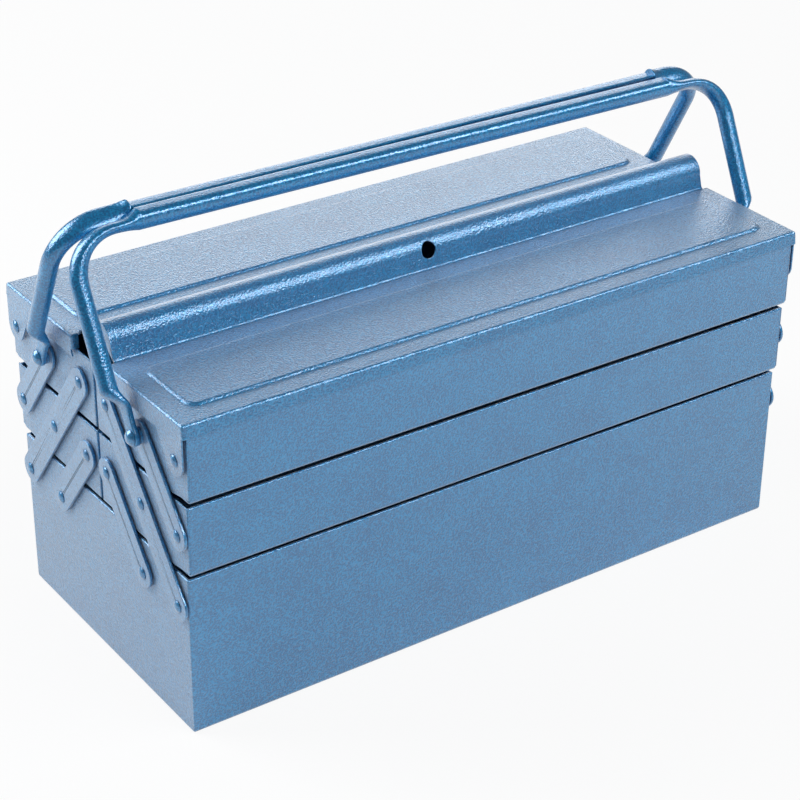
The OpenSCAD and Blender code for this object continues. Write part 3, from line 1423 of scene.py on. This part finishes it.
        count = math.ceil(reach / self.cell)
        for i in range(-count, count + 1):
            faces = [f for f in bm.faces if near(f)]
            geom = each_once(g for f in faces for g in (*f.verts, *f.edges)) + faces
            bmesh.ops.bisect_plane(
                bm, geom=geom, dist=1e-4, plane_co=(i * self.cell, 0, 0), plane_no=(1, 0, 0)
            )
        inside = [
            f
            for f in bm.faces
            if near(f)
            and math.hypot(f.calc_center_median().x, f.calc_center_median().z - mid) < r
        ]
        border = each_once(v for f in inside for v in f.verts)
        bmesh.ops.delete(bm, geom=inside, context="FACES")
        for vert in (v for v in border if v.is_valid):
            away = Vector((vert.co.x, vert.co.z - mid))
            if away.length and abs(away.length - r) < self.snap * self.cell:
                away *= r / away.length
                height = min(mid + away.y, max(v.co.z for v in bm.verts))
                vert.co = (away.x, surface(height), height)


# The links, rivets and handles


@dataclass
class Link:
    """A flat stamped link between pivots.

    Attributes:
        plan: Sizes of the box.
        side: The link's half.
        end: Its end of the box.
        name: Its node, without half and end.
        body: Its body, without its half.
        pivots: Its pivots, as distance from the middle and height.
        edge: Radius of its stamped edges.
    """

    plan: Plan
    side: Side
    end: End
    name: str
    body: str
    pivots: tuple[Point2, ...]
    edge: float = 0.45

    def build(self, bench: Bench) -> None:
        """Builds the link.

        Args:
            bench: Where pieces are finished.
        """
        p = self.plan
        bm = bmesh.new()
        first, last = (Vector((-q[0], q[1])) for q in (self.pivots[0], self.pivots[-1]))
        lean = math.degrees(math.atan2(*(last - first).yx))
        r = p.link_w / 2
        outline = arc(tuple(first), r, lean + 90, lean + 270, 16)
        outline += arc(tuple(last), r, lean - 90, lean + 90, 16)
        bore = p.rivet_d / 2 + p.run_fit
        holes = [circle((-q[0], q[1]), bore) for q in self.pivots]
        slab(bm, [outline, *holes], p.link_x, p.link_x + p.link_t)
        at_end(bm, self.end)
        half = self.side.word
        node = f"{half}_{self.end.word}_{self.name}"
        body = f"{half}_{self.body}"
        bench.finish(bm, f"{node}_bar", body, Spot.LINK, [node], self.side, edge=self.edge)


def links(plan: Plan, side: Side) -> list[Link]:
    """The six links of one half.

    Args:
        plan: Sizes of the box.
        side: The half.

    Returns:
        The links.
    """
    runs = (
        ("long_link", "long_links", (plan.box_outer, plan.mid_centre, plan.top_inner)),
        ("lower_link", "lower_links", (plan.box_inner, plan.mid_inner)),
        ("upper_link", "upper_links", (plan.mid_outer, plan.top_outer)),
    )
    return [Link(plan, side, end, name, body, run) for name, body, run in runs for end in End]


@dataclass
class Rivets:
    """A set of rivets of one node, each with a domed head outside and a flat one inside.

    Attributes:
        plan: Sizes of the box.
        node: Their node.
        body: Their body.
        pivots: Their places, as distance from the middle and height.
        start: Where their outer heads start along X.
        side: Their half.
        both: Whether the other half has the same rivets.
        head: Diameter and height of their outer heads, or None for the usual ones.
        lip: Height of an outer head at its border.
        soft: Radius of the inner head's border.
        toe: The small step at the foot of an outer head.
    """

    plan: Plan
    node: str
    body: str
    pivots: tuple[Point2, ...]
    start: float
    side: Side = Side.FRONT
    both: bool = False
    head: Point2 | None = None
    lip: float = 0.35
    soft: float = 0.25
    toe: float = 0.1

    def build(self, bench: Bench) -> None:
        """Builds the rivets.

        Args:
            bench: Where pieces are finished.
        """
        bm = bmesh.new()
        for y, z in self.pivots:
            lathe(bm, self._profile(), (-y, z))
            if self.both:
                lathe(bm, self._profile(), (y, z))
        mirror_ends(bm)
        name = f"{self.node}_heads"
        bench.finish(bm, name, self.body, Spot.RIVET, [self.node], self.side, edge=0)

    def _profile(self) -> list[Point2]:
        """The rivet's outline, from the middle of its inner head to the top of its dome.

        Returns:
            Its points, as place along X and radius.
        """
        p = self.plan
        inner = p.end_x - p.sheet_t - p.play
        shank, flat = p.rivet_d / 2, p.rivet_d / 2 + p.head_in
        wide, tall = self.head or (p.head_d, p.head_h)
        head, rise = wide / 2, tall - self.lip
        radius = (head**2 + rise**2) / (2 * rise)
        turn = math.degrees(math.asin(head / radius))
        dome = arc((self.start + tall - radius, 0), radius, turn, 0, 7)
        return [
            (inner - p.head_in, 0),
            (inner - p.head_in, flat - self.soft),
            (inner - p.head_in + self.soft, flat),
            (inner, flat),
            (inner, shank),
            (self.start, shank),
            (self.start, head - self.toe),
            (self.start + self.toe, head),
            *dome,
        ]


def rivet_sets(plan: Plan, side: Side) -> list[Rivets]:
    """The rivets of one half's trays, lid and handle.

    Args:
        plan: Sizes of the box.
        side: The half.

    Returns:
        The sets of rivets.
    """
    mids = (plan.mid_inner, plan.mid_centre, plan.mid_outer)
    eye = (plan.eye_head_d, plan.eye_head_h)
    sets = (
        ("middle", "middle_tray", mids, plan.link_out, None),
        ("top", "top_tray", (plan.top_inner,), plan.link_out, None),
        ("lid", "top_tray", (plan.ear,), plan.lid_x + plan.play, None),
        ("handle", "top_tray", (plan.top_outer,), plan.eye_out + plan.play, eye),
    )
    half = side.word
    return [
        Rivets(plan, f"{half}_{name}_rivets", f"{half}_{body}", *rest, side, head=head)
        for name, body, *rest, head in sets
    ]


@dataclass(frozen=True)
class Wear:
    """What sets one worn handle apart from the other.

    Attributes:
        skew: How far it has leant to the right at the top.
        dip: How far the tube's end lies below the grip's middle.
        flare: Height of the lip in front of the grip over the grip's middle.
    """

    skew: float
    dip: float
    flare: float


WEAR = {
    Side.FRONT: Wear(skew=1.5, dip=1.6, flare=6.4),
    Side.BACK: Wear(skew=0.5, dip=0.6, flare=8.0),
}


@dataclass
class Handle:
    """A carrying handle of bent tube with a pressed grip and crimped eyes.

    Lengths along the handle are measured from its pivot, as it stands upright.

    Attributes:
        plan: Sizes of the box.
        side: The handle's half.
        around: Number of points in a section.
        square: Power that squares off the section of an eye; 1 leaves it round.
        crimp: Height over which the flat eye grows into the tube.
        swell: Share of that height at which the eye starts to thicken.
        waist: How much narrower than the eye the leg becomes on the way.
        waist_end: Share of the height at which the waist ends.
        start: Length of tube drawn straight below the bend.
        bend_steps: Number of steps in the bend.
        thin: Half the tube's thickness where the bend meets the grip.
        wide: Half the tube's width there.
        dip_start: Share of the bend at which the tube starts to dip.
        lip_x: Where the grip starts.
        splay: How much further out each leg stands at the top than at its eye.
        sink: How much lower the leaning grip lies.
        slant: Fall of the grip to the right.
        top: Height of the grip's flattened top over its middle.
        top_square: Power that flattens that top.
        edge_r: Radius of the edges of the grip's inner side.
        hollow: Depth pressed into that side.
        hollow_share: Share of a quarter turn that the hollow takes.
        hollow_round: Power that rounds the hollow's floor.
        land_share: Share of the rest, from the top, before the edge starts.
        eye_turns: Angles of the sections that round off the eye's lower end.
        crimp_parts: Shares of the crimp's height at which its sections lie.
        neck_parts: Where the sections between bend and lip lie, and how far each is a lip.
        lip_parts: Where those behind the lip lie, and how far each is grip.
        grip_parts: Shares of the grip's half length at which its sections lie.
    """

    plan: Plan
    side: Side
    around: int = 40
    square: float = 0.45
    crimp: float = 28.0
    swell: float = 0.58
    waist: float = 0.9
    waist_end: float = 0.65
    start: float = 6.0
    bend_steps: int = 16
    thin: float = 3.3
    wide: float = 7.0
    dip_start: float = 0.35
    lip_x: float = 185.5
    splay: float = 1.3
    sink: float = 0.75
    slant: float = 0.0099
    top: float = 5.3
    top_square: float = 0.7
    edge_r: float = 1.2
    hollow: float = 4.2
    hollow_share: float = 0.42
    hollow_round: float = 0.8
    land_share: float = 0.7
    eye_turns: ClassVar[tuple[int, ...]] = (82, 70, 56, 42, 28, 14, 0)
    crimp_parts: ClassVar[Sequence[float]] = (
        0.25, 0.45, 0.58, 0.65, 0.7, 0.75, 0.8, 0.85, 0.92, 1.0,
    )
    neck_parts: ClassVar[tuple[Point2, ...]] = (
        (0.8, 0.02),
        (0.6, 0.1),
        (0.4, 0.3),
        (0.25, 0.55),
        (0.12, 0.8),
        (0.04, 0.97),
        (0, 1),
    )
    lip_parts: ClassVar[tuple[Point2, ...]] = ((0.25, 0.1), (0.3, 1.0))
    grip_parts: ClassVar[tuple[float, ...]] = (0.9, 0.6, 0.3, 0.0)

    def build(self, bench: Bench) -> None:
        """Builds the handle.

        Args:
            bench: Where pieces are finished.
        """
        bm = bmesh.new()
        stations = self._leg() + self._bend() + self._top()
        rings = [self._ring(bm, *station) for station in stations]
        for one, two in zip(rings, rings[1:]):
            bmesh.ops.bridge_loops(bm, edges=one + two)
        bmesh.ops.edgeloop_fill(bm, edges=rings[0])
        mirror_ends(bm, 0.01)
        for vert in bm.verts:
            part = min(max(vert.co.z / self._tall, 0.0), 1.0)
            vert.co.z -= part * (self.sink + self.slant * vert.co.x)
            vert.co.x += part * (self._wear.skew + self.splay * vert.co.x / self.plan.leg_x)
        lean = Matrix.Rotation(-self._lean, 3, "X")
        bmesh.ops.rotate(bm, cent=(0, 0, 0), matrix=lean, verts=bm.verts)
        y, z = self.plan.top_outer
        bmesh.ops.translate(bm, vec=(0, -y, z), verts=bm.verts)
        name = f"{self.side.word}_handle"
        bench.finish(
            bm, f"{name}_tube", name, Spot.HANDLE, [name], self.side, edge=0, angle=60
        )

    @property
    def _wear(self) -> Wear:
        """What sets this handle apart from the other."""
        return WEAR[self.side]

    @property
    def _tall(self) -> float:
        """Height of the upright handle, from its pivot to its grip."""
        return math.hypot(*self.plan.grip_run)

    @property
    def _lean(self) -> float:
        """How far the handle leans inwards, in radians."""
        return math.atan2(*self.plan.grip_run)

    def _ring(self, bm: BMesh, centre: Point2, heading: float, shape: Section) -> list[BMEdge]:
        """One closed section of the handle.

        Args:
            bm: The mesh.
            centre: Its middle, in X and Z from the pivot.
            heading: Angle of the tube from upright, in degrees.
            shape: The section's point at an angle, across the handle and outwards.

        Returns:
            The section's edges.
        """
        made = bmesh.ops.create_circle(bm, segments=self.around, radius=1.0)["verts"]
        turn = math.radians(heading)
        outward = Vector((math.cos(turn), 0, math.sin(turn)))
        for vert in made:
            across, out = shape(math.atan2(vert.co.y, vert.co.x))
            vert.co = Vector((centre[0], 0, centre[1])) + outward * out
            vert.co.y = across
        return each_once(e for v in made for e in v.link_edges)

    def _leg(self) -> list[Station]:
        """The sections of the right-hand eye and of the leg above it.

        Returns:
            Each section's middle, heading and shape, upwards.
        """
        p = self.plan
        half = p.eye_w / 2
        found = []
        for turn in self.eye_turns:
            z = -half * math.sin(math.radians(turn))
            width = half * math.cos(math.radians(turn))
            found.append(((p.leg_x, z), 0.0, self._flat(width, 0.0)))
        for part in self.crimp_parts:
            waist = half - self.waist * math.sin(math.pi * min(part / self.waist_end, 1.0))
            blend = ease((part - self.swell) / (1 - self.swell))
            found.append(((p.leg_x, self.crimp * part), 0.0, self._flat(waist, blend)))
        below = self._tall - p.bend_r - self.start
        return [*found, ((p.leg_x, below), 0.0, self._oval(0.0))]

    def _bend(self) -> list[Station]:
        """The sections of the right-hand bend.

        Returns:
            Each section's middle, heading and shape, from the leg to the grip.
        """
        r = self.plan.bend_r
        x, z = self.plan.leg_x - r, self._tall - r
        found = []
        for step in range(self.bend_steps + 1):
            part = step / self.bend_steps
            turn = part * math.pi / 2
            centre = (x + r * math.cos(turn), z + r * math.sin(turn))
            found.append((centre, math.degrees(turn), self._oval(part)))
        return found

    def _top(self) -> list[Station]:
        """The sections from the right-hand bend to the middle of the grip.

        Returns:
            Each section's middle, heading and shape, inwards.
        """
        neck, lip, grip = self._oval(1.0), self._lip, self._grip
        x = self.lip_x
        run = self.plan.leg_x - self.plan.bend_r - x
        found = [(x + run * part, mixed(neck, lip, share)) for part, share in self.neck_parts]
        found += [(x - place, mixed(lip, grip, share)) for place, share in self.lip_parts]
        found += [(x * part, grip) for part in self.grip_parts]
        return [((x, self._tall), 90.0, shape) for x, shape in found]

    def _flat(self, half: float, blend: float) -> Section:
        """The flattened section of an eye, on its way to the round tube.

        Args:
            half: Half its width.
            blend: 0 for the flat eye and 1 for the tube.

        Returns:
            The section.
        """
        p = self.plan

        def shape(turn: float) -> Point2:
            """The section's point.

            Args:
                turn: Its angle.

            Returns:
                The point, across the handle and outwards.
            """
            c, s = math.cos(turn), math.sin(turn)
            wide = half * math.copysign(abs(c) ** self.square, c)
            thin = p.eye_t / 2 * math.copysign(abs(s) ** self.square, s) - p.eye_shift
            return wide + (p.tube_r * c - wide) * blend, thin + (p.tube_r * s - thin) * blend

        return shape

    def _oval(self, part: float) -> Section:
        """The tube in its bend, which flattens towards the grip.

        Args:
            part: 0 at the leg and 1 at the grip.

        Returns:
            The section.
        """
        p, lean = self.plan, self._lean
        r, blend = p.tube_r, ease(part)
        thin = r + (self.thin - r) * blend
        wide = r + (self.wide - r) * blend
        dip = self._wear.dip * ease((part - self.dip_start) / (1 - self.dip_start))
        shift = wide - r - dip / 2
        upright = math.sin(math.pi / 2 * part)
        limit = r - p.grip_flat + p.bend_r * (1 - upright) * math.sin(lean)

        def shape(turn: float) -> Point2:
            """The section's point, kept on its own side of the middle.

            Args:
                turn: Its angle.

            Returns:
                The point, across the handle and outwards.
            """
            across, out = wide * math.cos(turn) - shift, thin * math.sin(turn) - dip
            over = across * math.cos(lean) + out * upright * math.sin(lean) - limit
            return across - max(over, 0.0) / math.cos(lean), out

        return shape

    def _level(self, turn: float, section: Section) -> Point2:
        """A point of a section that is drawn level, brought into the leaning handle.

        Args:
            turn: The point's angle in the handle.
            section: The level section.

        Returns:
            The point, across the handle and outwards.
        """
        lean = self._lean
        u, v = section((turn - lean + math.pi) % (2 * math.pi) - math.pi)
        return u * math.cos(lean) - v * math.sin(lean), u * math.sin(lean) + v * math.cos(lean)

    def _lip(self, turn: float) -> Point2:
        """The flared end of the tube in front of the grip.

        Args:
            turn: The point's angle.

        Returns:
            The point, across the handle and outwards.
        """
        p = self.plan
        inner, full = p.tube_r - p.grip_flat, p.tube_r + p.grip_wide

        def level(local: float) -> Point2:
            """The lip's point, drawn level.

            Args:
                local: Its angle.

            Returns:
                The point, across and up.
            """
            s = math.sin(local)
            high = self._wear.flare * s if s > 0 else full * s
            return min(full * math.cos(local), inner), high

        return self._level(turn, level)

    def _grip(self, turn: float) -> Point2:
        """The grip: flattened on top and pressed hollow on its inner side.

        Args:
            turn: The point's angle.

        Returns:
            The point, across the handle and outwards.
        """
        p, soft = self.plan, self.edge_r
        full, flat = p.tube_r + p.grip_wide, p.tube_r - p.grip_flat

        def outer(c: float, s: float) -> Point2:
            """The outer side's point at a cosine and sine."""
            if s > 0:
                return full * -(abs(c) ** self.top_square), self.top * s**self.top_square
            return full * c, full * s

        def inner(part: float, high: float) -> Point2:
            """The inner side's point, upwards.

            Args:
                part: Its share of a quarter turn.
                high: Height of the grip's edge.

            Returns:
                The point, across and up.
            """
            if part > self.hollow_share:
                along = (1 - part) / (1 - self.hollow_share)
                rest = 1 - self.land_share
                corner = max(along - self.land_share, 0.0) / rest * math.pi / 2
                reach = (flat - soft) * min(along / self.land_share, 1.0)
                return reach + soft * math.sin(corner), high - soft + soft * math.cos(corner)
            rest = part / self.hollow_share
            dish = self.hollow * math.cos(math.pi / 2 * rest) ** self.hollow_round
            return flat - dish, (high - soft) * rest

        def level(local: float) -> Point2:
            """The grip's point, drawn level.

            Args:
                local: Its angle.

            Returns:
                The point, across and up.
            """
            c, s = math.cos(local), math.sin(local)
            if c <= 0:
                return outer(c, s)
            across, up = inner(abs(local) / (math.pi / 2), self.top if s > 0 else full)
            return across, math.copysign(up, s)

        return self._level(turn, level)


# The studio


@dataclass(frozen=True)
class Panel:
    """A soft lamp that faces the box.

    Attributes:
        name: The lamp's name.
        place: Where it stands, in metres.
        size: Its width and height, in metres.
        power: Its power in watts.
    """

    name: str
    place: Point3
    size: Point2
    power: float

    def build(self, aim: Point3) -> None:
        """Sets up the lamp.

        Args:
            aim: The point that it faces, in metres.
        """
        light = bpy.data.lights.new(self.name, "AREA")
        light.shape = "RECTANGLE"
        light.size, light.size_y = self.size
        light.energy = self.power
        lamp = bpy.data.objects.new(self.name, light)
        bpy.context.scene.collection.objects.link(lamp)
        toward = Vector(aim) - Vector(self.place)
        lamp.rotation_euler = toward.to_track_quat("-Z", "Y").to_euler()
        lamp.location = self.place


@dataclass
class Studio:
    """The floor, the light and the camera.

    Attributes:
        panels: The lamps.
        aim: The point that they face.
        floor_size: Length of the floor's sides.
        floor_colour: The floor's colour.
        floor_seen: How much the floor glows, for the camera and for reflections.
        sky_colour: Colour of the even light from all round.
        sky_power: Its strength.
        sky_seen: How white the background is, for the camera and for reflections.
        lens: The camera's focal length.
        sensor: Width of its sensor.
        azimuth: How far it is turned about the box, in degrees.
        elevation: How far it looks down, in degrees.
        tilt: How far it is tilted, in degrees.
        eye: Where it stands, in metres.
    """

    panels: tuple[Panel, ...] = (
        Panel("back_panel", (0.95, 1.65, 0.62), (1.7, 0.75), 8.5),
        Panel("front_panel", (0.7, -1.25, 1.35), (2.4, 0.42), 28.0),
        Panel("left_panel", (-0.9, 0.9, 0.9), (1.0, 1.0), 18.0),
    )
    aim: Point3 = (0, 0, 0.12)
    floor_size: float = 12.0
    floor_colour: Colour = (0.86, 0.87, 0.88)
    floor_seen: Point2 = (0.9, 0.2)
    sky_colour: Colour = (0.80, 0.88, 1.0)
    sky_power: float = 0.09
    sky_seen: Point2 = (1.0, 0.05)
    lens: float = 100.44
    sensor: float = 36.0
    azimuth: float = 34.86
    elevation: float = 29.03
    tilt: float = 0.43
    eye: Point3 = (-0.699, -0.993, 0.778)

    def build(self) -> None:
        """Builds the whole studio."""
        self._floor()
        self._world()
        for panel in self.panels:
            panel.build(self.aim)
        self._camera()

    def _floor(self) -> None:
        """A plain pale floor."""
        bm = bmesh.new()
        bmesh.ops.create_grid(bm, x_segments=1, y_segments=1, size=self.floor_size / 2)
        mesh = bpy.data.meshes.new("floor")
        bm.to_mesh(mesh)
        bm.free()
        floor = bpy.data.objects.new("floor", mesh)
        bpy.context.scene.collection.objects.link(floor)
        material = bpy.data.materials.new("pale_floor")
        wires = Wiring(material)
        plain = wires.add("BsdfDiffuse", {"Color": (*self.floor_colour, 1)})
        glow = wires.add("Emission", {"Color": WHITE, "Strength": 1.0})
        self._blend(wires, self.floor_seen, plain, glow, "OutputMaterial")
        mesh.materials.append(material)

    def _world(self) -> None:
        """A white background, with soft even light from all round."""
        world = bpy.data.worlds.new("studio")
        bpy.context.scene.world = world
        wires = Wiring(world)
        soft = {"Color": (*self.sky_colour, 1), "Strength": self.sky_power}
        plain = wires.add("Background", soft)
        glow = wires.add("Background", {"Color": WHITE, "Strength": 1.0})
        self._blend(wires, self.sky_seen, plain, glow, "OutputWorld")

    @staticmethod
    def _blend(
        wires: Wiring, seen: Point2, plain: bpy.types.Node, glow: bpy.types.Node, out: str
    ) -> None:
        """Puts a white glow over a plain surface, for the rays that look straight at it.

        Args:
            wires: The nodes.
            seen: The glow's share for the camera's rays, and for reflected ones.
            plain: The surface for all other rays.
            glow: The glow.
            out: The type of the output node.
        """
        settings = {"Fac": wires.seen(*seen), 1: plain.outputs[0], 2: glow.outputs[0]}
        mix = wires.add("MixShader", settings)
        wires.add(out, {"Surface": mix.outputs["Shader"]})

    def _camera(self) -> None:
        """The camera, at the view that the box is shown from."""
        data = bpy.data.cameras.new("camera")
        data.lens = self.lens
        data.sensor_width = self.sensor
        camera = bpy.data.objects.new("camera", data)
        bpy.context.scene.collection.objects.link(camera)
        camera.matrix_world = (
            Matrix.Translation(self.eye)
            @ Matrix.Rotation(math.radians(-self.azimuth), 4, "Z")
            @ Matrix.Rotation(math.radians(90 - self.elevation), 4, "X")
            @ Matrix.Rotation(math.radians(self.tilt), 4, "Z")
        )
        bpy.context.scene.camera = camera


def dress_nodes(nodes: dict[str, bpy.types.Object], paint: Paintwork) -> None:
    """Gives the solids that stay in view their finish.

    Args:
        nodes: The CAD nodes by name.
        paint: The finishes.
    """
    for name, node in nodes.items():
        if "washers" in name or "spacers" in name:
            for place in node.material_slots:
                place.material = paint.of(Spot.WASHER)
            LOG.info("%s keeps its solid", name)


def main() -> None:
    """Builds the tool box and its studio."""
    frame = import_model()
    paint = Paintwork()
    bench = Bench(paint)
    dress_nodes(frame["nodes"], paint)
    BottomBox(PLAN).build(bench)
    Rivets(
        PLAN,
        "box_rivets",
        "bottom_box",
        (PLAN.box_outer, PLAN.box_inner),
        PLAN.link_out,
        both=True,
    ).build(bench)
    for side in Side:
        middle_tray(PLAN, side).build(bench)
        top_tray(PLAN, side).build(bench)
        Lid(PLAN, side).build(bench)
        for link in links(PLAN, side):
            link.build(bench)
        for rivets in rivet_sets(PLAN, side):
            rivets.build(bench)
        Handle(PLAN, side).build(bench)
    LOG.info("%d pieces", bench.count)
    Studio().build()
    bpy.context.scene.view_settings.view_transform = "Standard"


if __name__ == "__main__":
    logging.basicConfig(level=logging.INFO, format="%(message)s")
    main()
